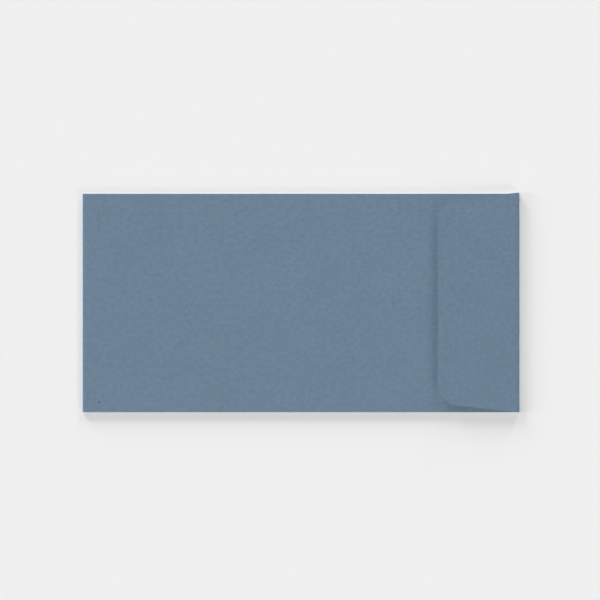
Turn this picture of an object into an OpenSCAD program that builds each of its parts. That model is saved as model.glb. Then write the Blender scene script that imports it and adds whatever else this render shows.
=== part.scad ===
// Pocket envelope folded from one die-cut sheet of paper, lying flat with its flap uppermost.
// +X runs along the pocket to the flap fold, +Z is up, and the origin is at the middle of the
// footprint, on the surface that the envelope lies on.
//
// The blank is a front panel with a narrow tab on each long side, a back panel beyond the
// bottom fold and a flap beyond the flap fold. The tabs are turned in, the back panel is
// turned up and glued down onto them, and the flap closes over the mouth.

/* [Pocket] */
// Length of the folded pocket, from its bottom fold to its flap fold
pocket_l = 220; // [160:1:330]
// Width of the folded pocket, across its two side folds
pocket_w = 110; // [80:1:250]

/* [Paper] */
// Thickness of the paper
paper_t = 0.16; // [0.1:0.01:0.3]
// Air left between two plies that are folded together and not glued
ply_gap = 0.48; // [0.06:0.02:1]

/* [Side tabs] */
// Width of each glued tab, from the side fold to its cut edge
tab_w = 14; // [8:0.5:25]
// Slope of the tabs' cut ends, in degrees from square
tab_end_slope = 20; // [0:1:40]
// Length of raw edge left between each tab's end and the fold across it
tab_relief = 1.2; // [0.6:0.1:4]
// Thickness of the dried glue between each tab and the back panel
glue_t = 0.02; // [0.01:0.01:0.1]
// Width left bare round the glue on each tab
glue_margin = 1.5; // [0.5:0.5:4]

/* [Back panel] */
// How far the back panel's cut sides lie inside the pocket's folded sides, where 0 is flush
panel_inset = 0; // [0:0.05:2]
// Distance from the flap fold back to the back panel's cut edge at the mouth
throat_setback = 3; // [1.5:0.5:15]

/* [Flap] */
// Depth of the flap, from its fold to its free edge
flap_l = 41; // [25:0.5:70]
// How much wider than the pocket the flap is at its fold
root_extra = 0.6; // [0:0.1:1]
// How far the flap was folded off the pocket's centre line, towards +Y
flap_offset = 0.25; // [-0.5:0.05:0.5]
// Slope of the flap's sides, in degrees from the length of the pocket
side_slope = 6.4; // [0:0.2:8]
// How much each cut corner takes off the width of the free edge
corner_w = 5.9; // [5:0.1:12]
// Slope of the flap's cut corners, in degrees from the length of the pocket
corner_slope = 49; // [35:1:60]
// Radius that blends each cut corner into the flap's side
shoulder_r = 8; // [1:0.5:8.5]
// Radius at each end of the straight free edge
tip_r = 1.5; // [0.5:0.25:3]
// How far the closed flap has sprung up from the pocket, in degrees
flap_lift = 1.1; // [0:0.1:12]
// Air between the back panel and the flap at the fold
flap_gap = 0.4; // [0.05:0.05:1]

/* [Hidden] */
paper_colour = [0.427, 0.510, 0.584];
fold_fn = 48;
corner_fn = 96;

// Heights of the plies, each at its lower face
tab_z = paper_t + ply_gap;
back_z = tab_z + paper_t + glue_t;
flap_z = back_z + paper_t + flap_gap;

// Outer radius of each fold, which is half of the height that it closes
side_fold_r = (tab_z + paper_t) / 2;
bottom_fold_r = (back_z + paper_t) / 2;
flap_fold_r = (flap_z + paper_t) / 2;

// Lines at which the flat panels run into the folds
side_fold_y = pocket_w / 2 - side_fold_r;
bottom_fold_x = -pocket_l / 2 + bottom_fold_r;
flap_fold_x = pocket_l / 2 - flap_fold_r;

// Ends of the side folds, the mouth, and the half widths of the cut edges beyond the side folds
tab_start_x = bottom_fold_x + tab_relief;
tab_stop_x = flap_fold_x - tab_relief;
throat_x = pocket_l / 2 - throat_setback;
back_half_w = pocket_w / 2 - panel_inset;
root_half_w = (pocket_w + root_extra) / 2;

// Length of front panel that has the full width of the fold across its end. Beside it a notch
// keeps each tab's end clear of that fold.
land_l = tab_relief / 2;

// The flap in its own plane, measured back from the end of its fold
flap_reach = flap_l - flap_fold_r;
side_fall = tan(side_slope);
corner_fall = tan(corner_slope);
shoulder_u = flap_reach - corner_w / (corner_fall - side_fall);
shoulder_half_w = root_half_w - shoulder_u * side_fall;
tip_half_w = root_half_w - flap_reach * side_fall - corner_w;

// Point at a distance from p towards q
function along(p, q, distance) = p + (q - p) * distance / norm(q - p);

// Angle at b between the lines to a and c
function corner_angle(a, b, c) = acos((a - b) * (c - b) / norm(a - b) / norm(c - b));

// Distance from corner b to where an arc of radius r meets its two sides
function tangent_length(a, b, c, r) = r / tan(corner_angle(a, b, c) / 2);

// Centre of an arc of radius r that rounds the corner b
function arc_centre(a, b, c, r) =
    let (middle = along(b, a, 1) + along(b, c, 1) - b)
    along(b, middle, r / sin(corner_angle(a, b, c) / 2));

// Convex outline whose corners are rounded by true arcs, where a radius of 0 leaves a corner sharp
module rounded_outline(points, radii) {
    n = len(points);
    polygon([
        for (i = [0 : n - 1])
            let (before = points[(i + n - 1) % n], here = points[i], after = points[(i + 1) % n])
            for (side = radii[i] == 0 ? [here] : [
                along(here, before, tangent_length(before, here, after, radii[i])),
                along(here, after, tangent_length(before, here, after, radii[i]))
            ])
                side
    ]);
    for (i = [0 : n - 1])
        if (radii[i] > 0)
            translate(arc_centre(points[(i + n - 1) % n], points[i], points[(i + 1) % n], radii[i]))
                circle(r = radii[i], $fn = corner_fn);
}

// Cross-section of the sheet where it runs flat, turns through a fold and runs flat again above.
// The fold starts at x = 0, and both flat parts run from it towards -X.
module fold_section(outer_r, lower_l, upper_l, turn = 180) {
    translate([-lower_l, 0])
        square([lower_l, paper_t]);
    translate([0, outer_r]) {
        difference() {
            circle(r = outer_r, $fn = fold_fn);
            circle(r = outer_r - paper_t, $fn = fold_fn);
            for (angle = [0, turn - 180])
                rotate(angle)
                    translate([-2 * outer_r, -2 * outer_r])
                        square([2 * outer_r, 4 * outer_r]);
        }
        rotate(turn - 180)
            translate([-upper_l, outer_r - paper_t])
                square([upper_l, paper_t]);
    }
}

// Carries a cross-section along Y, over a width
module across(width) {
    rotate([90, 0, 0])
        linear_extrude(width, center = true)
            children();
}

// Panel that lies on the table, between all four folds
module front_panel() {
    translate([bottom_fold_x, -side_fold_y, 0])
        cube([flap_fold_x - bottom_fold_x, 2 * side_fold_y, paper_t]);
}

// Tab on the +Y side, with the fold that turns it in over the front panel. Its ends slope inwards
// from the folded edge, and the outline that cuts them reaches well past the tab on both sides.
module side_tab() {
    outline_w = 2 * tab_w;
    end_step = outline_w * tan(tab_end_slope);
    translate([0, pocket_w / 2, 0])
        intersection() {
            translate([0, -side_fold_r, 0])
                rotate([90, 0, 90])
                    linear_extrude(2 * pocket_l, center = true)
                        fold_section(side_fold_r, land_l, tab_w - side_fold_r);
            linear_extrude(2 * back_z, center = true)
                polygon([
                    [tab_start_x - end_step, outline_w],
                    [tab_stop_x + end_step, outline_w],
                    [tab_stop_x - end_step, -outline_w],
                    [tab_start_x + end_step, -outline_w]
                ]);
        }
}

// Glue on the +Y tab, which has soaked halfway into the tab and the back panel
module glue_line() {
    end_step = tab_w * tan(tab_end_slope);
    start_x = tab_start_x + end_step + glue_margin;
    stop_x = min(tab_stop_x - end_step, throat_x) - glue_margin;
    translate([start_x, pocket_w / 2 - tab_w + glue_margin, tab_z + paper_t / 2])
        cube([stop_x - start_x, tab_w - side_fold_r - 2 * glue_margin, paper_t + glue_t]);
}

// Panel that the bottom fold turns up and over, glued down on the tabs
module back_panel() {
    translate([bottom_fold_x, 0, 0])
        mirror([1, 0, 0])
            across(2 * back_half_w)
                fold_section(bottom_fold_r, land_l, throat_x - bottom_fold_x);
}

// Flap with its fold, cut to its tapered outline and sprung up a little from the pocket
module flap() {
    run_out = 2 * flap_fold_r;
    run_out_half_w = root_half_w + run_out * side_fall;
    translate([flap_fold_x, flap_offset, 0])
        intersection() {
            across(2 * root_half_w)
                fold_section(flap_fold_r, land_l, flap_l, 180 - flap_lift);
            translate([0, 0, flap_fold_r])
                rotate([0, flap_lift, 0])
                    linear_extrude(4 * flap_fold_r, center = true)
                        rounded_outline([
                            [run_out, run_out_half_w],
                            [-shoulder_u, shoulder_half_w],
                            [-flap_reach, tip_half_w],
                            [-flap_reach, -tip_half_w],
                            [-shoulder_u, -shoulder_half_w],
                            [run_out, -run_out_half_w]
                        ], [0, shoulder_r, tip_r, tip_r, shoulder_r, 0]);
        }
}

// The whole sheet as folded and glued, which is one piece of paper
module envelope() {
    color(paper_colour) {
        front_panel();
        for (side = [0, 1])
            mirror([0, side, 0]) {
                side_tab();
                glue_line();
            }
        back_panel();
        flap();
    }
}

envelope();
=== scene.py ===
"""Pocket envelope of slate-blue paper, folded from its flat blank, on a pale studio floor.

The blank is drawn flat, as the die cuts it. A Geometry Nodes tree gives it the thickness of
the paper and rolls it up fold by fold, so that every ply is the same sheet. The sizes repeat
those of the CAD part, in metres.
"""

import logging
import math
from dataclasses import dataclass, field, replace
from enum import Enum
from itertools import pairwise

import bpy
import numpy as np
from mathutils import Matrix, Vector


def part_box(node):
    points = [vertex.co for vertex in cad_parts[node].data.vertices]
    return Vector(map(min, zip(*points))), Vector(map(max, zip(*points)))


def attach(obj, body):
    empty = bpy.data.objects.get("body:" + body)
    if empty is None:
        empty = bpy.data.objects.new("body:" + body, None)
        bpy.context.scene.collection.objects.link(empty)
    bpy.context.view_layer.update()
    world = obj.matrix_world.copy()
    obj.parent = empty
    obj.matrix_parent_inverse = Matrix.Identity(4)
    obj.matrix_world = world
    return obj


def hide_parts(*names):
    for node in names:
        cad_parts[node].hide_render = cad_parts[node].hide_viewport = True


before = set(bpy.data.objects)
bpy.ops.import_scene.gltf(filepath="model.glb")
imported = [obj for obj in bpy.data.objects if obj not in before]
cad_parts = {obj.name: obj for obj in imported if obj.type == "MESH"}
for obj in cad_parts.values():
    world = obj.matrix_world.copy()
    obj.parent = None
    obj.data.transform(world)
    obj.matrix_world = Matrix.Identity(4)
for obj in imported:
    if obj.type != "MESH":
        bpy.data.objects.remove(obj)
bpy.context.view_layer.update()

MM = 0.001
NODE = "envelope"
BODY = "root"
PIECE = "envelope_sheet"

# Places that lie closer than this, in metres, count as one, and so do points closer than WELD
NEAR = 1e-9
WELD = 1e-7
# Share of a step by which a line may be too long before it gets one more step
STEP_SLACK = 1e-6
# Steps up and round the sky in which a soft light's strength is summed
SKY_STEPS = 720
# Middle of a noise or a colour that runs from 0 to 1
MIDDLE = 0.5
# Vector sums that give a number
NUMBER_SUMS = ("DOT_PRODUCT", "DISTANCE")

log = logging.getLogger("envelope")

Socket = bpy.types.NodeSocket
Value = bool | float | str | tuple[float, ...] | Socket
Point = tuple[float, float, float]


class Attribute(Enum):
    """Names of what the sheet stores on its mesh."""

    ON_TAB = "on_tab"
    ON_BACK = "on_back"
    BLANK = "blank_position"
    WEAR = "fold_wear"
    CUT = "cut_edge"


class Way(Enum):
    """Direction in which the flat blank runs towards a fold."""

    TO_BOTTOM = (-1.0, 0.0, 0.0)
    TO_FLAP = (1.0, 0.0, 0.0)
    TO_LEFT_TAB = (0.0, 1.0, 0.0)
    TO_RIGHT_TAB = (0.0, -1.0, 0.0)


class Tree:
    """A node tree that is written like a sum: a call adds a node and returns what it gives."""

    def __init__(self, tree: bpy.types.NodeTree) -> None:
        """Starts on an empty tree.

        Args:
            tree: The node tree to write.
        """
        self.tree = tree
        self.tree.nodes.clear()

    def node(
        self, kind: str, inputs: dict[str | int, Value] | None = None, **settings: object
    ) -> bpy.types.Node:
        """Adds one node.

        Args:
            kind: The node's type.
            inputs: What goes into its sockets, by name or by place.
            **settings: Values for the node's own properties.

        Returns:
            The new node.
        """
        made = self.tree.nodes.new(kind)
        for name, setting in settings.items():
            setattr(made, name, setting)
        for key, value in (inputs or {}).items():
            self.feed(made.inputs[key], value)
        return made

    def feed(self, socket: Socket, value: Value) -> None:
        """Links a socket to another one, or sets its own value.

        Args:
            socket: The input socket.
            value: An output socket, a number or a vector.
        """
        if isinstance(value, bpy.types.NodeSocket):
            self.tree.links.new(value, socket)
        else:
            socket.default_value = value

    def math(self, operation: str, *values: Value) -> Socket:
        """Adds a sum of numbers, and returns its result."""
        return self.node("ShaderNodeMath", dict(enumerate(values)), operation=operation).outputs[0]

    def vector(self, operation: str, *values: Value) -> Socket:
        """Adds a sum of vectors, and returns its result, which may be a number."""
        made = self.node("ShaderNodeVectorMath", dict(enumerate(values)), operation=operation)
        return made.outputs["Value" if operation in NUMBER_SUMS else "Vector"]

    def scaled(self, vector: Value, factor: Value) -> Socket:
        """Returns a vector times a number."""
        made = self.node("ShaderNodeVectorMath", {0: vector, "Scale": factor}, operation="SCALE")
        return made.outputs["Vector"]

    def upright(self, length: Value) -> Socket:
        """Returns a vector straight up, of that length."""
        return self.node("ShaderNodeCombineXYZ", {"Z": length}).outputs["Vector"]

    def stored(self, attribute: Attribute, data_type: str) -> Socket:
        """Returns a named attribute of the geometry, as a field."""
        inputs = {"Name": attribute.value}
        return self.node("GeometryNodeInputNamedAttribute", inputs, data_type=data_type).outputs[0]

    def store(
        self,
        geometry: Socket,
        attribute: Attribute,
        value: Value,
        data_type: str,
        domain: str = "POINT",
    ) -> bpy.types.Node:
        """Adds a node that stores a named attribute on the geometry.

        Args:
            geometry: What it is stored on.
            attribute: The attribute.
            value: Its value.
            data_type: The type of the value.
            domain: Where it is stored.

        Returns:
            The node, whose first output is the geometry.
        """
        inputs = {"Geometry": geometry, "Name": attribute.value, "Value": value}
        return self.node(
            "GeometryNodeStoreNamedAttribute", inputs, data_type=data_type, domain=domain
        )

    def ramp(
        self, value: Value, start: Value, stop: Value, low: Value = 0.0, high: Value = 1.0
    ) -> Socket:
        """Adds a smooth step.

        Args:
            value: What is stepped.
            start: Where the step starts.
            stop: Where it ends.
            low: The result before the step.
            high: The result after it.

        Returns:
            The stepped value.
        """
        inputs = {
            "Value": value,
            "From Min": start,
            "From Max": stop,
            "To Min": low,
            "To Max": high,
        }
        made = self.node("ShaderNodeMapRange", inputs, interpolation_type="SMOOTHSTEP")
        return made.outputs["Result"]


def new_group(
    name: str, kind: str, inputs: dict[str, tuple[str, Value | None]], outputs: dict[str, str]
) -> tuple[Tree, bpy.types.NodeTree, bpy.types.Node, bpy.types.Node]:
    """Makes an empty node group with named sockets.

    Args:
        name: The group's name.
        kind: The type of tree.
        inputs: Each input's socket type and starting value.
        outputs: Each output's socket type.

    Returns:
        The tree to write, the group, and its input and output nodes.
    """
    group = bpy.data.node_groups.new(name, kind)
    for socket_name, (socket_kind, value) in inputs.items():
        socket = group.interface.new_socket(socket_name, in_out="INPUT", socket_type=socket_kind)
        if value is not None:
            socket.default_value = value
    for socket_name, socket_kind in outputs.items():
        group.interface.new_socket(socket_name, in_out="OUTPUT", socket_type=socket_kind)
    tree = Tree(group)
    return tree, group, tree.node("NodeGroupInput"), tree.node("NodeGroupOutput")


def placed(name: str, data: bpy.types.ID) -> bpy.types.Object:
    """Adds an object to the scene, at the origin.

    Args:
        name: Its name.
        data: Its mesh or camera.

    Returns:
        The object.
    """
    made = bpy.data.objects.new(name, data)
    bpy.context.scene.collection.objects.link(made)
    return made


def stations(stops: list[float], step: float) -> list[float]:
    """Divides a line between its stops.

    Args:
        stops: Places that each get a station, in rising order.
        step: The longest distance between two stations.

    Returns:
        All stations, in rising order.
    """
    found = [stops[0]]
    for start, stop in pairwise(stops):
        count = max(1, math.ceil((stop - start) / step - STEP_SLACK))
        found += [start + (stop - start) * i / count for i in range(1, count + 1)]
    return found


@dataclass(frozen=True)
class Crease:
    """One fold of the sheet: where it starts on the blank, how far it turns and how tightly."""

    way: Way
    line: float
    outer_r: float
    thickness: float
    turn: float = math.pi

    @property
    def label(self) -> str:
        """Name of the fold among the inputs of the folding tree."""
        return self.way.name.replace("_", " ").title()

    @property
    def sizes(self) -> dict[str, float]:
        """The fold's own inputs of the group that rolls it."""
        return {"Fold Line": self.line, "Outer Radius": self.outer_r, "Turn": self.turn}

    @property
    def middle_r(self) -> float:
        """Radius of the middle of the paper, whose length doesn't change as it folds."""
        return self.outer_r - self.thickness / 2

    @property
    def length(self) -> float:
        """Length of blank that the fold takes up."""
        return self.middle_r * self.turn

    def cuts(self, count: int) -> list[float]:
        """Places of the fold's facets on the blank, from its line outwards."""
        return [self.line + self.length * i / count for i in range(count + 1)]


@dataclass(frozen=True)
class Paper:
    """The sheet itself, in metres, as in the CAD part."""

    thickness: float = 0.16 * MM
    ply_gap: float = 0.48 * MM
    flap_gap: float = 0.4 * MM
    glue: float = 0.02 * MM

    @property
    def tab_z(self) -> float:
        """Lower face of the tabs."""
        return self.thickness + self.ply_gap

    @property
    def back_z(self) -> float:
        """Lower face of the back panel."""
        return self.tab_z + self.thickness + self.glue

    @property
    def flap_z(self) -> float:
        """Lower face of the flap, where it leaves its fold."""
        return self.back_z + self.thickness + self.flap_gap


@dataclass(frozen=True)
class FlapOutline:
    """Outline of the flap in its own plane, measured from the end of its fold."""

    reach: float
    root_half_w: float
    side_slope: float = math.radians(6.4)
    corner_w: float = 5.9 * MM
    corner_slope: float = math.radians(49)
    shoulder_r: float = 8 * MM
    tip_r: float = 1.5 * MM
    arc_steps: int = 10

    def points(self) -> list[tuple[float, float]]:
        """Works out one side of the outline.

        Returns:
            Distance from the fold and half width, from the root to the free edge.
        """
        side_fall, corner_fall = math.tan(self.side_slope), math.tan(self.corner_slope)
        shoulder_u = self.reach - self.corner_w / (corner_fall - side_fall)
        shoulder = np.array((shoulder_u, self.root_half_w - shoulder_u * side_fall))
        tip = np.array((self.reach, self.root_half_w - self.reach * side_fall - self.corner_w))
        root, middle = np.array((0.0, self.root_half_w)), np.array((self.reach, 0.0))
        found = [tuple(root)]
        found += self.rounded(root, shoulder, tip, self.shoulder_r)
        found += self.rounded(shoulder, tip, middle, self.tip_r)
        return found

    def rounded(
        self, before: np.ndarray, corner: np.ndarray, after: np.ndarray, radius: float
    ) -> list[tuple[float, float]]:
        """Rounds a corner by a true arc.

        Args:
            before: The point before the corner.
            corner: The corner.
            after: The point after it.
            radius: Radius of the arc.

        Returns:
            Points along the arc.
        """
        back = (before - corner) / np.linalg.norm(before - corner)
        on = (after - corner) / np.linalg.norm(after - corner)
        half = math.acos(float(back @ on)) / 2
        middle = (back + on) / np.linalg.norm(back + on)
        centre = corner + middle * radius / math.sin(half)
        start = corner + back * radius / math.tan(half) - centre
        turn = math.pi - 2 * half
        out = corner - centre
        side = 1 if start[0] * out[1] > start[1] * out[0] else -1
        found = []
        for i in range(self.arc_steps + 1):
            angle = side * turn * i / self.arc_steps
            c, s = math.cos(angle), math.sin(angle)
            turned = (c * start[0] - s * start[1], s * start[0] + c * start[1])
            found.append((centre[0] + turned[0], centre[1] + turned[1]))
        return found


@dataclass
class Blank:
    """The die-cut sheet, laid flat with the front panel in its place on the table."""

    paper: Paper
    pocket_l: float
    pocket_w: float = 110 * MM
    tab_w: float = 14 * MM
    tab_end_slope: float = math.radians(20)
    tab_relief: float = 1.2 * MM
    throat_setback: float = 3 * MM
    flap_l: float = 41 * MM
    root_extra: float = 0.6 * MM
    flap_offset: float = 0.25 * MM
    flap_lift: float = math.radians(1.1)
    cell: float = 2.4 * MM  # Longest side of a quad
    fold_facets: int = 14
    notch_run: float = 0.04 * MM  # Length in which the cut edge steps in beside a fold
    end_run: float = 16 * MM  # Length in which the quads lean with a tab's end
    bottom: Crease = field(init=False)
    side: Crease = field(init=False)
    flap: Crease = field(init=False)

    def __post_init__(self) -> None:
        """Works out the folds, as the CAD part does."""
        half_l, half_w = self.pocket_l / 2, self.pocket_w / 2
        self.side = self.crease(Way.TO_LEFT_TAB, half_w, self.paper.tab_z)
        self.bottom = self.crease(Way.TO_BOTTOM, half_l, self.paper.back_z)
        self.flap = self.crease(Way.TO_FLAP, half_l, self.paper.flap_z, math.pi - self.flap_lift)

    def crease(self, way: Way, reach: float, ply_z: float, turn: float = math.pi) -> Crease:
        """Works out a fold that lifts a ply from the table to its height.

        Args:
            way: Where the blank runs towards the fold.
            reach: How far out the fold stands once it is made.
            ply_z: Height of the lifted ply's lower face.
            turn: How far the fold turns.

        Returns:
            The fold.
        """
        outer_r = (ply_z + self.paper.thickness) / 2
        return Crease(way, reach - outer_r, outer_r, self.paper.thickness, turn)

    @property
    def outline(self) -> FlapOutline:
        """The flap's outline beyond its fold."""
        return FlapOutline(self.flap_l - self.flap.outer_r, (self.pocket_w + self.root_extra) / 2)

    @property
    def creases(self) -> list[Crease]:
        """Every fold, in the order in which the envelope is made."""
        return [self.side, replace(self.side, way=Way.TO_RIGHT_TAB), self.bottom, self.flap]

    def edge_rows(self) -> list[Point]:
        """Follows the cut edge of the long strip of panels.

        Returns:
            Place along the blank, centre and half width, from the back panel to the flap's tip.
        """
        land = self.tab_relief / 2
        back_l = self.pocket_l / 2 - self.throat_setback + self.bottom.line
        half_w, neck = self.pocket_w / 2, self.side.line
        root = self.outline.root_half_w
        off = self.flap_offset
        bottom_cuts = [-x for x in reversed(self.bottom.cuts(self.fold_facets))]
        flap_cuts = self.flap.cuts(self.fold_facets)
        stops: list[Point] = [(bottom_cuts[0] - back_l, 0.0, half_w)]
        stops += [(x, 0.0, half_w) for x in bottom_cuts]
        stops.append((-self.bottom.line + land, 0.0, half_w))
        stops.append((-self.bottom.line + land + self.notch_run, 0.0, neck))
        stops += [(x, 0.0, neck) for x in self.tab_stops()]
        stops.append((self.flap.line - land - self.notch_run, 0.0, neck))
        stops.append((self.flap.line - land, off, root))
        stops += [(x, off, root) for x in flap_cuts]
        stops += [(flap_cuts[-1] + u, off, w) for u, w in self.outline.points()[1:]]
        places = np.array([s[0] for s in stops])
        rows = stations(list(places), self.cell)
        centres = np.interp(rows, places, [s[1] for s in stops])
        halves = np.interp(rows, places, [s[2] for s in stops])
        return list(zip(rows, centres, halves, strict=True))

    def tab_stops(self) -> tuple[float, float]:
        """Finds the ends of the tabs at their fold line.

        Returns:
            Their places along the blank.
        """
        fall = math.tan(self.tab_end_slope) * self.side.outer_r
        return (
            -self.bottom.line + self.tab_relief + fall,
            self.flap.line - self.tab_relief - fall,
        )

    def tab_inset(self, across: float) -> float:
        """Works out how far a tab's sloping end has stepped in.

        Args:
            across: Distance on the blank from the tab's fold line outwards.

        Returns:
            The step along the blank.
        """
        turned = min(across, self.side.length) / self.side.middle_r
        inwards = -self.side.middle_r * math.sin(turned) + max(across - self.side.length, 0.0)
        return inwards * math.tan(self.tab_end_slope)

    def mesh(self) -> bpy.types.Mesh:
        """Draws the flat blank as one sheet of quads, seen from inside the envelope.

        Returns:
            The flat mesh, with its tabs and its back panel marked.
        """
        rows = self.edge_rows()
        columns = round(self.pocket_w / self.cell)
        shares = np.linspace(-1, 1, columns + 1)
        verts: list[Point] = []
        for x, centre, half in rows:
            verts += [(x, centre + share * half, 0.0) for share in shares]
        wide = columns + 1
        faces: list[tuple[int, ...]] = [
            (a, a + wide, a + wide + 1, a + 1)
            for i in range(len(rows) - 1)
            for a in range(i * wide, i * wide + columns)
        ]
        strip_count = len(verts)
        for sign in (-1, 1):
            self.add_tab(verts, faces, rows, wide, sign)
        mesh = bpy.data.meshes.new("blank")
        mesh.from_pydata(verts, [], [f if self.is_up(verts, f) else f[::-1] for f in faces])
        back_x = -self.bottom.line - self.bottom.length + NEAR
        marks = {
            Attribute.ON_TAB: [i >= strip_count for i in range(len(verts))],
            Attribute.ON_BACK: [bool(vert[0] < back_x) for vert in verts],
        }
        for attribute, values in marks.items():
            mark = mesh.attributes.new(attribute.value, "BOOLEAN", "POINT")
            mark.data.foreach_set("value", values)
        return mesh

    def add_tab(
        self,
        verts: list[Point],
        faces: list[tuple[int, ...]],
        rows: list[Point],
        wide: int,
        sign: int,
    ) -> None:
        """Adds one tab's points and faces to those of the strip of panels.

        Args:
            verts: All points so far, which start with the strip's.
            faces: All faces so far.
            rows: The strip's rows along the blank.
            wide: How many points a row has.
            sign: 1 for the tab on the +Y side, and -1 for the other.
        """
        start, stop = self.tab_stops()
        held = [i for i, row in enumerate(rows) if start - NEAR <= row[0] <= stop + NEAR]
        flat_w = self.tab_w - self.side.outer_r
        beyond = stations([self.side.length, self.side.length + flat_w], self.cell)
        steps = [x - self.side.line for x in self.side.cuts(self.fold_facets)][1:] + beyond[1:]
        before = [i * wide + (wide - 1 if sign > 0 else 0) for i in held]
        for step in steps:
            here = list(range(len(verts), len(verts) + len(held)))
            for i in held:
                x = rows[i][0]
                from_start = max(0.0, 1 - (x - start) / self.end_run)
                from_stop = max(0.0, 1 - (stop - x) / self.end_run)
                x += self.tab_inset(step) * (from_start - from_stop)
                verts.append((x, sign * (self.side.line + step), 0.0))
            for (a, b), (c, d) in zip(pairwise(before), pairwise(here), strict=True):
                faces.append((a, b, d, c) if sign > 0 else (a, c, d, b))
            before = here

    @staticmethod
    def is_up(verts: list[Point], face: tuple[int, ...]) -> bool:
        """Whether a flat face looks upwards."""
        a, b, c = (verts[i] for i in face[:3])
        return (b[0] - a[0]) * (c[1] - a[1]) - (b[1] - a[1]) * (c[0] - a[0]) > 0

    def on_blank(self, x: float, y: float) -> Point:
        """Finds the place on the blank that ends up at a place on the uppermost face.

        Args:
            x: Place along the folded envelope.
            y: Place across it.

        Returns:
            The place on the outer face of the flat blank.
        """
        if x > self.flap.line - self.outline.reach:
            return (self.flap.line + self.flap.length + self.flap.line - x, y, 0.0)
        return (-self.bottom.line - self.bottom.length - (x + self.bottom.line), y, 0.0)


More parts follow.
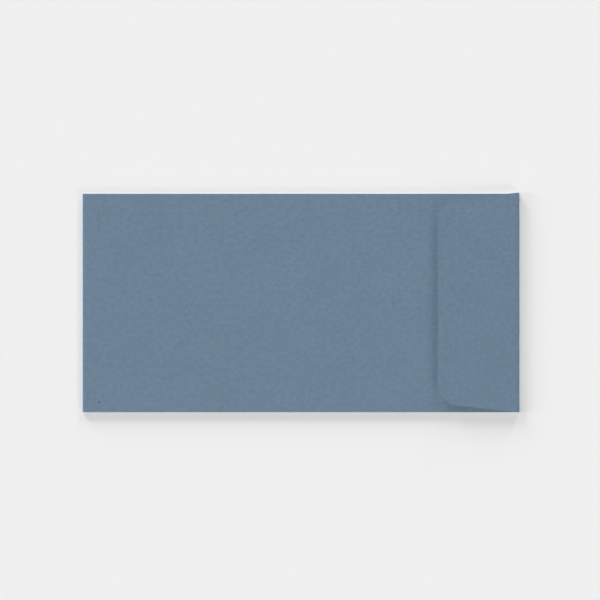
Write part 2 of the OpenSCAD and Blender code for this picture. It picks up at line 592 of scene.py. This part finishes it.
@dataclass
class Folding:
    """The Geometry Nodes tree that turns the flat blank into the folded envelope."""

    blank: Blank
    crown: float = 0.07 * MM  # How far the back panel rises in its middle

    def roll_group(self) -> bpy.types.NodeTree:
        """Writes the node group that rolls the sheet round one fold.

        Returns:
            The group, which is used once for each fold.
        """
        tree, group, source, result = new_group(
            "roll_round_fold",
            "GeometryNodeTree",
            {
                "Sheet": ("NodeSocketGeometry", None),
                "Selection": ("NodeSocketBool", True),
                "Way": ("NodeSocketVector", None),
                "Fold Line": ("NodeSocketFloat", 0.0),
                "Outer Radius": ("NodeSocketFloat", 0.0),
                "Thickness": ("NodeSocketFloat", 0.0),
                "Turn": ("NodeSocketFloat", math.pi),
            },
            {"Sheet": "NodeSocketGeometry"},
        )
        given = source.outputs
        position = tree.node("GeometryNodeInputPosition").outputs[0]
        height = tree.node("ShaderNodeSeparateXYZ", {0: position}).outputs["Z"]
        out = tree.vector("DOT_PRODUCT", position, given["Way"])
        past = tree.math("SUBTRACT", out, given["Fold Line"])
        half = tree.math("MULTIPLY", given["Thickness"], 0.5)
        middle_r = tree.math("SUBTRACT", given["Outer Radius"], half)
        arc = tree.math("MULTIPLY", middle_r, given["Turn"])
        angle = tree.math("DIVIDE", tree.math("MINIMUM", past, arc), middle_r)
        beyond = tree.math("MAXIMUM", tree.math("SUBTRACT", past, arc), 0.0)
        radius = tree.math("SUBTRACT", given["Outer Radius"], height)
        sine, cosine = tree.math("SINE", angle), tree.math("COSINE", angle)
        reach = tree.math("MULTIPLY_ADD", beyond, cosine, tree.math("MULTIPLY", radius, sine))
        lift = tree.math("SUBTRACT", given["Outer Radius"], tree.math("MULTIPLY", radius, cosine))
        up = tree.math("MULTIPLY_ADD", beyond, sine, lift)
        along = tree.scaled(given["Way"], tree.math("SUBTRACT", reach, past))
        rise = tree.upright(tree.math("SUBTRACT", up, height))
        beyond_line = tree.math("GREATER_THAN", past, NEAR)
        folded = tree.node(
            "FunctionNodeBooleanMath", {0: given["Selection"], 1: beyond_line}, operation="AND"
        ).outputs[0]
        on_roll = tree.math("MULTIPLY", sine, tree.math("LESS_THAN", past, arc))
        wear = tree.math("MAXIMUM", tree.stored(Attribute.WEAR, "FLOAT"), on_roll)
        worn = tree.store(given["Sheet"], Attribute.WEAR, wear, "FLOAT")
        tree.feed(worn.inputs["Selection"], folded)
        moved = tree.node(
            "GeometryNodeSetPosition",
            {
                "Geometry": worn.outputs[0],
                "Selection": folded,
                "Offset": tree.vector("ADD", along, rise),
            },
        )
        tree.feed(result.inputs["Sheet"], moved.outputs[0])
        return group

    def tree(self) -> bpy.types.NodeTree:
        """Writes the whole tree: thickness first, then every fold, then the finish.

        Returns:
            The node group for the modifier.
        """
        roll = self.roll_group()
        inputs: dict[str, tuple[str, Value | None]] = {
            "Blank": ("NodeSocketGeometry", None),
            "Paper Thickness": ("NodeSocketFloat", 0.0),
            "Crown": ("NodeSocketFloat", 0.0),
            "Crown Half Width": ("NodeSocketFloat", 1.0),
            "Crown Half Length": ("NodeSocketFloat", 1.0),
            "Paper": ("NodeSocketMaterial", None),
            "Cut Edge": ("NodeSocketMaterial", None),
        }
        for crease in self.blank.creases:
            for size in crease.sizes:
                inputs[f"{crease.label} {size}"] = ("NodeSocketFloat", 0.0)
        tree, group, source, result = new_group(
            "fold_envelope", "GeometryNodeTree", inputs, {"Envelope": "NodeSocketGeometry"}
        )
        given = source.outputs
        sheet, cut = self.thicken(tree, given["Blank"], given["Paper Thickness"])
        for crease in self.blank.creases:
            sheet = self.fold(tree, sheet, roll, crease, given)
            if crease.way is Way.TO_BOTTOM:
                sheet = self.puff(tree, sheet, given)
        uncut = tree.node("FunctionNodeBooleanMath", {0: cut}, operation="NOT")
        shaded = tree.node(
            "GeometryNodeSetShadeSmooth",
            {"Geometry": sheet, "Selection": uncut.outputs[0]},
            domain="FACE",
        )
        real = tree.node("GeometryNodeRealizeInstances", {"Geometry": shaded.outputs[0]})
        faced = tree.node(
            "GeometryNodeSetMaterial", {"Geometry": real.outputs[0], "Material": given["Paper"]}
        )
        edged = tree.node(
            "GeometryNodeSetMaterial",
            {"Geometry": faced.outputs[0], "Selection": cut, "Material": given["Cut Edge"]},
        )
        tree.feed(result.inputs["Envelope"], edged.outputs[0])
        return group

    def thicken(self, tree: Tree, flat: Socket, thickness: Socket) -> tuple[Socket, Socket]:
        """Gives the flat blank the thickness of the paper and stores where each point lay.

        Args:
            tree: The tree that is written.
            flat: The flat sheet.
            thickness: How thick it gets.

        Returns:
            The closed slab, and the field that picks its cut edges.
        """
        raised = tree.node(
            "GeometryNodeExtrudeMesh",
            {
                "Mesh": flat,
                "Offset": tree.upright(thickness),
                "Offset Scale": 1.0,
                "Individual": False,
            },
            mode="FACES",
        )
        walls = raised.outputs["Side"]
        marked = tree.store(raised.outputs["Mesh"], Attribute.CUT, walls, "BOOLEAN", "FACE")
        under = tree.node("GeometryNodeFlipFaces", {"Mesh": flat})
        joined = tree.node("GeometryNodeJoinGeometry")
        for part in (marked.outputs[0], under.outputs[0]):
            tree.feed(joined.inputs[0], part)
        closed = tree.node(
            "GeometryNodeMergeByDistance", {"Geometry": joined.outputs[0], "Distance": WELD}
        )
        place = tree.node("GeometryNodeInputPosition").outputs[0]
        laid = tree.store(closed.outputs[0], Attribute.BLANK, place, "FLOAT_VECTOR")
        unworn = tree.store(laid.outputs[0], Attribute.WEAR, 0.0, "FLOAT")
        return unworn.outputs[0], tree.stored(Attribute.CUT, "BOOLEAN")

    def fold(
        self,
        tree: Tree,
        sheet: Socket,
        roll: bpy.types.NodeTree,
        crease: Crease,
        given: bpy.types.NodeOutputs,
    ) -> Socket:
        """Adds one fold.

        Args:
            tree: The tree that is written.
            sheet: The sheet so far.
            roll: The group that rolls it.
            crease: The fold.
            given: The tree's inputs.

        Returns:
            The sheet with that fold.
        """
        inputs: dict[str | int, Value] = {
            "Sheet": sheet,
            "Way": crease.way.value,
            "Thickness": given["Paper Thickness"],
        }
        for size in crease.sizes:
            inputs[size] = given[f"{crease.label} {size}"]
        if crease.way in (Way.TO_LEFT_TAB, Way.TO_RIGHT_TAB):
            inputs["Selection"] = tree.stored(Attribute.ON_TAB, "BOOLEAN")
        return tree.node("GeometryNodeGroup", inputs, node_tree=roll).outputs["Sheet"]

    def puff(self, tree: Tree, sheet: Socket, given: bpy.types.NodeOutputs) -> Socket:
        """Lets the back panel rise a little between the tabs that hold it.

        Args:
            tree: The tree that is written.
            sheet: The sheet so far.
            given: The tree's inputs.

        Returns:
            The sheet with its back panel crowned.
        """
        position = tree.node("GeometryNodeInputPosition").outputs[0]
        place = tree.node("ShaderNodeSeparateXYZ", {0: position})
        falls = []
        for axis, half in (("Y", given["Crown Half Width"]), ("X", given["Crown Half Length"])):
            share = tree.math("DIVIDE", tree.math("ABSOLUTE", place.outputs[axis]), half)
            falls.append(tree.ramp(share, 0.0, 1.0, 1.0, 0.0))
        rise = tree.math("MULTIPLY", tree.math("MULTIPLY", *falls), given["Crown"])
        on_back = tree.stored(Attribute.ON_BACK, "BOOLEAN")
        moved = tree.node(
            "GeometryNodeSetPosition",
            {"Geometry": sheet, "Selection": on_back, "Offset": tree.upright(rise)},
        )
        return moved.outputs[0]

    def values(self, paper: bpy.types.Material, edge: bpy.types.Material) -> dict[str, object]:
        """Lists what goes into the modifier.

        Args:
            paper: Material of the sheet's two faces.
            edge: Material of its cut edges.

        Returns:
            Each input's value by its name.
        """
        found: dict[str, object] = {
            "Paper Thickness": self.blank.paper.thickness,
            "Crown": self.crown,
            "Crown Half Width": self.blank.pocket_w / 2 - self.blank.tab_w,
            "Crown Half Length": self.blank.pocket_l / 2 - self.blank.throat_setback,
            "Paper": paper,
            "Cut Edge": edge,
        }
        for crease in self.blank.creases:
            for size, value in crease.sizes.items():
                found[f"{crease.label} {size}"] = value
        return found


@dataclass(frozen=True)
class Fleck:
    """A speck in the paper's uppermost face, at its place on the folded envelope in millimetres."""

    x: float
    y: float
    radius: float
    tone: float


FLECKS = (
    Fleck(-101.5, -50.0, 0.95, -0.42),
    Fleck(46.5, -0.5, 0.75, -0.2),
    Fleck(-89.5, -28.5, 0.8, -0.16),
    Fleck(24.5, 37.5, 0.55, -0.16),
    Fleck(-42.0, -20.5, 0.55, -0.16),
    Fleck(-41.5, 5.0, 0.6, -0.15),
    Fleck(-108.0, 53.0, 0.6, -0.14),
    Fleck(64.5, -39.5, 0.6, -0.14),
    Fleck(28.0, -6.5, 0.8, -0.12),
    Fleck(-4.5, 50.5, 0.75, 0.18),
    Fleck(-71.5, -39.0, 0.9, 0.16),
    Fleck(52.5, 36.5, 0.7, 0.16),
)


@dataclass(frozen=True)
class PaperFinish:
    """Looks of one face of the paper."""

    name: str
    colour: Point
    mottle: float  # Strength of the pulp's clouds in the tone
    fibre: float  # Strength of the fibres in the tone
    wear: float  # How much lighter the paper is on a fold
    roughness: float
    blue_cast: Point = (-0.0175, -0.022, 0.0265)
    rose_cast: Point = (0.012, -0.015, 0.0)
    specular: float = 0.25
    bump: float = 0.35
    relief: float = 0.02 * MM  # Depth of the bumps
    cloud_relief: float = 0.6  # How high the clouds stand beside the fibres
    cloud_roughness: float = 0.08  # How much the clouds change the roughness


@dataclass(frozen=True)
class Pulp:
    """Clouds that the pulp forms in the sheet, in a fine, a soft and a tinted layer."""

    clouds: float = 460.0  # Scale of the fine layer, for each metre of blank
    stretch: Point = (0.85, 1.0, 1.0)
    detail: float = 2.0
    roughness: float = 0.55
    plain_detail: float = 1.0  # Detail of the other two layers
    soft_scale: float = 0.16  # Scale and strength beside the fine layer's
    soft_share: float = 0.22
    soft_shift: Point = (0.31, 0.17, 0.05)
    tint_scale: float = 0.8  # Scale beside the fine layer's
    tint_shift: Point = (0.77, 0.43, 0.09)


@dataclass(frozen=True)
class Fibres:
    """Fine fibres of the paper, most of which lie along the sheet's grain."""

    curl_scale: float = 420.0
    curl: float = 1.6 * MM  # How far a fibre is bent aside
    detail: float = 1.0
    layers: tuple[tuple[Point, float], ...] = (  # Scale along each axis, and height
        ((900.0, 6500.0, 3000.0), 1.0),
        ((4200.0, 1300.0, 3000.0), 0.7),
    )
    width: float = 0.09  # Half width of a fibre, in steps of its noise
    mean: float = 0.3  # Mean height of the fibres


@dataclass(frozen=True)
class Scatter:
    """Fine flecks that lie all over the paper, each in a cell of its own."""

    scale: float = 240.0  # Cells for each metre
    core: float = 0.03  # Radius of a fleck's even middle, in cells
    rim: float = 0.13  # Radius at which it has faded
    dark: tuple[float, float] = (0.78, 0.86)  # Draws between which a dark fleck comes up
    light: tuple[float, float] = (0.76, 0.84)  # Draws between which a light one comes up
    tone: float = 0.13
    spot_core: float = 0.2  # Even middle of a single fleck, as a share of its radius


@dataclass
class PaperShop:
    """Makes the paper's materials from node groups that they share."""

    blank: Blank
    pulp: Pulp = Pulp()
    strands: Fibres = Fibres()
    scatter: Scatter = Scatter()
    formation: bpy.types.NodeTree = field(init=False)
    fibres: bpy.types.NodeTree = field(init=False)
    specks: bpy.types.NodeTree = field(init=False)

    def __post_init__(self) -> None:
        """Writes the shared node groups."""
        self.formation = self.formation_group()
        self.fibres = self.fibre_group()
        self.specks = self.speck_group()

    def formation_group(self) -> bpy.types.NodeTree:
        """Writes the cloudy formation of the pulp, as a tone and two tints round 0.

        Returns:
            The node group.
        """
        pulp = self.pulp
        tree, group, source, result = new_group(
            "pulp_formation",
            "ShaderNodeTree",
            {"Place": ("NodeSocketVector", None), "Clouds": ("NodeSocketFloat", pulp.clouds)},
            {"Tone": "NodeSocketFloat", "Blue": "NodeSocketFloat", "Rose": "NodeSocketFloat"},
        )
        given = source.outputs
        laid = tree.vector("MULTIPLY", given["Place"], pulp.stretch)
        fine = tree.node(
            "ShaderNodeTexNoise",
            {
                "Vector": laid,
                "Scale": given["Clouds"],
                "Detail": pulp.detail,
                "Roughness": pulp.roughness,
            },
        )
        soft, tint = (
            tree.node(
                "ShaderNodeTexNoise",
                {
                    "Vector": tree.vector("ADD", laid, shift),
                    "Scale": tree.math("MULTIPLY", given["Clouds"], scale),
                    "Detail": pulp.plain_detail,
                },
            )
            for shift, scale in (
                (pulp.soft_shift, pulp.soft_scale),
                (pulp.tint_shift, pulp.tint_scale),
            )
        )
        tone = tree.math("SUBTRACT", fine.outputs[0], MIDDLE)
        swell = tree.math("SUBTRACT", soft.outputs[0], MIDDLE)
        tree.feed(result.inputs["Tone"], tree.math("MULTIPLY_ADD", swell, pulp.soft_share, tone))
        tints = tree.node("ShaderNodeSeparateColor", {0: tint.outputs["Color"]})
        tree.feed(result.inputs["Blue"], tree.math("SUBTRACT", tints.outputs[0], MIDDLE))
        tree.feed(result.inputs["Rose"], tree.math("SUBTRACT", tints.outputs[1], MIDDLE))
        return group

    def fibre_group(self) -> bpy.types.NodeTree:
        """Writes the fine fibres.

        Returns:
            The node group, whose height runs from 0 to 1.
        """
        strands = self.strands
        tree, group, source, result = new_group(
            "paper_fibres",
            "ShaderNodeTree",
            {"Place": ("NodeSocketVector", None)},
            {"Height": "NodeSocketFloat"},
        )
        place = source.outputs["Place"]
        curl = tree.node(
            "ShaderNodeTexNoise",
            {"Vector": place, "Scale": strands.curl_scale, "Detail": strands.detail},
        )
        aside = tree.vector("SUBTRACT", curl.outputs["Color"], (MIDDLE, MIDDLE, MIDDLE))
        bent = tree.vector("ADD", place, tree.scaled(aside, strands.curl))
        height: Value = 0.0
        for squeeze, share in strands.layers:
            strand = tree.node(
                "ShaderNodeTexNoise",
                {
                    "Vector": tree.vector("MULTIPLY", bent, squeeze),
                    "Scale": 1.0,
                    "Detail": strands.detail,
                },
            )
            ridge = tree.math("ABSOLUTE", tree.math("SUBTRACT", strand.outputs[0], MIDDLE))
            strand_height = tree.ramp(ridge, 0.0, strands.width, share, 0.0)
            height = tree.math("MAXIMUM", height, strand_height)
        tree.feed(result.inputs["Height"], height)
        return group

    def speck_group(self) -> bpy.types.NodeTree:
        """Writes the flecks, both the ones at their places and the fine scattered ones.

        Returns:
            The node group, whose tone is round 0.
        """
        scatter = self.scatter
        tree, group, source, result = new_group(
            "paper_flecks",
            "ShaderNodeTree",
            {"Place": ("NodeSocketVector", None)},
            {"Tone": "NodeSocketFloat"},
        )
        place = source.outputs["Place"]
        tone: Value = 0.0
        for fleck in FLECKS:
            radius = fleck.radius * MM
            spot = self.blank.on_blank(fleck.x * MM, fleck.y * MM)
            away = tree.vector("DISTANCE", place, spot)
            mark = tree.ramp(away, scatter.spot_core * radius, radius, fleck.tone, 0.0)
            tone = tree.math("ADD", tone, mark)
        cells = tree.node(
            "ShaderNodeTexVoronoi",
            {"Vector": place, "Scale": scatter.scale, "Randomness": 1.0},
            voronoi_dimensions="2D",
        )
        draws = tree.node("ShaderNodeSeparateColor", {0: cells.outputs["Color"]})
        close = tree.ramp(cells.outputs["Distance"], scatter.core, scatter.rim, 1.0, 0.0)
        dark, light = (
            tree.math("MULTIPLY", close, tree.ramp(draws.outputs[channel], *span, 0.0, change))
            for channel, span, change in (
                (0, scatter.dark, -scatter.tone),
                (1, scatter.light, scatter.tone),
            )
        )
        tree.feed(result.inputs["Tone"], tree.math("ADD", tone, tree.math("ADD", dark, light)))
        return group

    def material(self, finish: PaperFinish) -> bpy.types.Material:
        """Makes one material.

        Args:
            finish: How it looks.

        Returns:
            The material.
        """
        made = bpy.data.materials.new(finish.name)
        made.use_nodes = True
        tree = Tree(made.node_tree)
        place, worn = (
            tree.node("ShaderNodeAttribute", attribute_type="GEOMETRY", attribute_name=name.value)
            for name in (Attribute.BLANK, Attribute.WEAR)
        )
        formation, fibres, specks = (
            tree.node("ShaderNodeGroup", {"Place": place.outputs["Vector"]}, node_tree=group)
            for group in (self.formation, self.fibres, self.specks)
        )
        tone = tree.math("MULTIPLY_ADD", formation.outputs["Tone"], finish.mottle, 1.0)
        tone = tree.math("ADD", tone, specks.outputs["Tone"])
        strands = tree.math("SUBTRACT", fibres.outputs["Height"], self.strands.mean)
        tone = tree.math("MULTIPLY_ADD", strands, finish.fibre, tone)
        tone = tree.math("MULTIPLY_ADD", worn.outputs["Fac"], finish.wear, tone)
        shade = tree.scaled(finish.colour, tone)
        blue = tree.scaled(finish.blue_cast, formation.outputs["Blue"])
        rose = tree.scaled(finish.rose_cast, formation.outputs["Rose"])
        colour = tree.vector("ADD", shade, tree.vector("ADD", blue, rose))
        cloud = formation.outputs["Tone"]
        height = tree.math("MULTIPLY_ADD", cloud, finish.cloud_relief, fibres.outputs["Height"])
        bump = tree.node(
            "ShaderNodeBump", {"Strength": finish.bump, "Distance": finish.relief, "Height": height}
        )
        roughness = tree.math("MULTIPLY_ADD", cloud, finish.cloud_roughness, finish.roughness)
        shader = tree.node(
            "ShaderNodeBsdfPrincipled",
            {
                "Base Color": colour,
                "Roughness": roughness,
                "Specular IOR Level": finish.specular,
                "Normal": bump.outputs["Normal"],
            },
        )
        output = tree.node("ShaderNodeOutputMaterial")
        tree.feed(output.inputs["Surface"], shader.outputs[0])
        return made


@dataclass
class Envelope:
    """The folded envelope, which is one sheet of paper and so one piece."""

    blank: Blank
    folding: Folding
    shop: PaperShop
    face: PaperFinish = PaperFinish(
        name="slate_paper",
        colour=(0.1407, 0.2112, 0.2863),
        mottle=0.325,
        fibre=0.02,
        wear=0.015,
        roughness=0.88,
    )
    edge: PaperFinish = PaperFinish(
        name="slate_paper_cut",
        colour=(0.165, 0.235, 0.31),
        mottle=0.3,
        fibre=0.1,
        wear=0.0,
        roughness=0.95,
    )
    sharp_from: float = math.radians(50)

    def build(self) -> bpy.types.Object:
        """Folds the blank and hands the plain mesh to the frame.

        Returns:
            The finished piece.
        """
        paper, edge = self.shop.material(self.face), self.shop.material(self.edge)
        sheet = self.blank.mesh()
        sheet.materials.append(paper)
        flat = placed("flat_blank", sheet)
        modifier = flat.modifiers.new("folding", "NODES")
        modifier.node_group = self.folding.tree()
        named = {
            item.name: item.identifier
            for item in modifier.node_group.interface.items_tree
            if item.item_type == "SOCKET" and item.in_out == "INPUT"
        }
        for name, value in self.folding.values(paper, edge).items():
            modifier[named[name]] = value
        depsgraph = bpy.context.evaluated_depsgraph_get()
        depsgraph.update()
        mesh = bpy.data.meshes.new_from_object(
            flat.evaluated_get(depsgraph), preserve_all_data_layers=True, depsgraph=depsgraph
        )
        bpy.data.objects.remove(flat)
        mesh.set_sharp_from_angle(angle=self.sharp_from)
        for name in (Attribute.ON_TAB, Attribute.ON_BACK, Attribute.CUT):
            if name.value in mesh.attributes:
                mesh.attributes.remove(mesh.attributes[name.value])
        mesh.name = PIECE
        piece = placed(PIECE, mesh)
        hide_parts(NODE)
        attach(piece, BODY)
        finishes = ", ".join(material.name for material in mesh.materials)
        log.info("%s: %d faces, materials %s", piece.name, len(mesh.polygons), finishes)
        return piece


@dataclass(frozen=True)
class SoftLight:
    """A round soft light far off in the studio, as a disc of the sky with a soft rim.

    Its angles are in degrees, its azimuth from +X towards +Y.
    """

    name: str
    azimuth: float
    elevation: float
    radius: float
    share: float  # Share of the floor's light that it gives
    core: float = 0.2  # Share of its radius that is evenly bright

    @property
    def axis(self) -> Point:
        """Direction of the light's middle."""
        turn, rise = math.radians(self.azimuth), math.radians(self.elevation)
        return (math.cos(rise) * math.cos(turn), math.cos(rise) * math.sin(turn), math.sin(rise))

    @property
    def rim(self) -> tuple[float, float]:
        """Cosines of the angles from the middle at which the light has ended and starts to fall."""
        ends, starts = math.radians(self.radius), math.radians(self.radius * self.core)
        return (math.cos(ends), math.cos(starts))

    def radiance(self) -> float:
        """Works out how bright the disc is, so that it gives its share of the floor's light.

        Returns:
            The radiance of its even middle.
        """
        rise = (np.arange(SKY_STEPS) + 0.5) / SKY_STEPS * math.pi / 2
        turn = (np.arange(SKY_STEPS) + 0.5) / SKY_STEPS * 2 * math.pi
        up, around = np.meshgrid(rise, turn, indexing="ij")
        x, y, z = self.axis
        cosine = np.cos(up) * (np.cos(around) * x + np.sin(around) * y) + np.sin(up) * z
        low, high = self.rim
        inside = np.clip((cosine - low) / (high - low), 0, 1)
        shape = inside * inside * (3 - 2 * inside)
        cell = math.pi / 2 / SKY_STEPS * 2 * math.pi / SKY_STEPS
        return self.share * math.pi / float((shape * np.sin(up) * np.cos(up)).sum() * cell)


@dataclass
class Studio:
    """The floor, the light and the camera. The lights' shares add up to 1."""

    backdrop: float = 0.871
    floor_half: float = 30.0
    floor_z: float = -0.01 * MM
    lens: float = 135.0  # Focal length and sensor in millimetres
    sensor: float = 36.0
    view_w: float = 302.3 * MM  # Width of what the camera sees
    aim: Point = (-0.41 * MM, 1.51 * MM, 0.5 * MM)
    clip: tuple[float, float] = (0.05, 100.0)
    lights: tuple[SoftLight, ...] = (
        SoftLight("key", 180.0, 75.0, 10.0, 0.43),
        SoftLight("left_high", 180.0, 45.0, 10.0, 0.1),
        SoftLight("left_low", 180.0, 8.0, 10.0, 0.1),
        SoftLight("far_left", 120.0, 7.0, 10.0, 0.17),
        SoftLight("far_right", 70.0, 6.0, 10.0, 0.1),
        SoftLight("near_right", 310.0, 12.0, 10.0, 0.1),
    )

    @property
    def pale(self) -> tuple[float, float, float, float]:
        """Colour of the floor and the backdrop."""
        return (self.backdrop, self.backdrop, self.backdrop, 1.0)

    def floor(self) -> bpy.types.Object:
        """Lays the pale floor.

        Returns:
            The floor.
        """
        half = self.floor_half
        mesh = bpy.data.meshes.new("floor")
        square = ((-half, -half), (half, -half), (half, half), (-half, half))
        mesh.from_pydata([(x, y, self.floor_z) for x, y in square], [], [(0, 1, 2, 3)])
        material = bpy.data.materials.new("floor_card")
        material.use_nodes = True
        tree = Tree(material.node_tree)
        shader = tree.node(
            "ShaderNodeBsdfPrincipled",
            {"Base Color": self.pale, "Roughness": 1.0, "Specular IOR Level": 0.0},
        )
        tree.feed(tree.node("ShaderNodeOutputMaterial").inputs["Surface"], shader.outputs[0])
        mesh.materials.append(material)
        floor = placed("floor", mesh)
        return floor

    def light_group(self) -> bpy.types.NodeTree:
        """Writes the node group of one soft light.

        Returns:
            The node group.
        """
        tree, group, source, result = new_group(
            "soft_light",
            "ShaderNodeTree",
            {
                "Direction": ("NodeSocketVector", None),
                "Axis": ("NodeSocketVector", None),
                "Rim End": ("NodeSocketFloat", 0.0),
                "Rim Start": ("NodeSocketFloat", 1.0),
                "Radiance": ("NodeSocketFloat", 1.0),
            },
            {"Light": "NodeSocketFloat"},
        )
        given = source.outputs
        cosine = tree.vector("DOT_PRODUCT", given["Direction"], given["Axis"])
        disc = tree.ramp(cosine, given["Rim End"], given["Rim Start"], 0.0, given["Radiance"])
        above = tree.node("ShaderNodeSeparateXYZ", {0: given["Direction"]}).outputs["Z"]
        light = tree.math("MULTIPLY", disc, tree.math("GREATER_THAN", above, 0.0))
        tree.feed(result.inputs["Light"], light)
        return group

    def world(self) -> None:
        """Lights the scene by its soft lights, and shows a pale backdrop to the eye."""
        world = bpy.data.worlds.new("studio")
        world.use_nodes = True
        tree = Tree(world.node_tree)
        direction = tree.node("ShaderNodeTexCoord").outputs["Generated"]
        group = self.light_group()
        total: Value = 0.0
        for light in self.lights:
            rim_end, rim_start = light.rim
            inputs = {
                "Direction": direction,
                "Axis": light.axis,
                "Rim End": rim_end,
                "Rim Start": rim_start,
                "Radiance": light.radiance(),
            }
            made = tree.node("ShaderNodeGroup", inputs, node_tree=group)
            total = tree.math("ADD", total, made.outputs["Light"])
        white = (1.0, 1.0, 1.0, 1.0)
        lamps = tree.node("ShaderNodeBackground", {"Color": white, "Strength": total})
        pale = tree.node("ShaderNodeBackground", {"Color": self.pale, "Strength": 1.0})
        ray = tree.node("ShaderNodeLightPath").outputs
        mirrored = tree.math("MAXIMUM", ray["Is Glossy Ray"], ray["Is Transmission Ray"])
        seen = tree.math("MAXIMUM", ray["Is Camera Ray"], mirrored)
        mixed = tree.node("ShaderNodeMixShader", {0: seen, 1: lamps.outputs[0], 2: pale.outputs[0]})
        tree.feed(tree.node("ShaderNodeOutputWorld").inputs["Surface"], mixed.outputs[0])
        bpy.context.scene.world = world

    def camera(self) -> bpy.types.Object:
        """Hangs the camera straight above the envelope.

        Returns:
            The camera.
        """
        data = bpy.data.cameras.new("camera")
        data.lens = self.lens
        data.sensor_width = self.sensor
        camera = placed("camera", data)
        distance = self.view_w * self.lens / self.sensor
        camera.location = Vector(self.aim) + Vector((0.0, 0.0, distance))
        data.clip_start, data.clip_end = self.clip
        bpy.context.scene.camera = camera
        return camera

    def build(self) -> None:
        """Sets up the whole studio."""
        self.floor()
        self.world()
        self.camera()
        bpy.context.scene.view_settings.view_transform = "Standard"
        count = len(self.lights)
        log.info("studio: %d soft lights, floor and backdrop at %.3f", count, self.backdrop)


def main() -> None:
    """Builds the studio and the envelope."""
    logging.basicConfig(level=logging.INFO, format="%(name)s: %(message)s")
    low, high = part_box(NODE)
    Studio().build()
    blank = Blank(Paper(), pocket_l=round((high.x - low.x) / MM) * MM)
    Envelope(blank, Folding(blank), PaperShop(blank)).build()


if __name__ == "__main__":
    main()
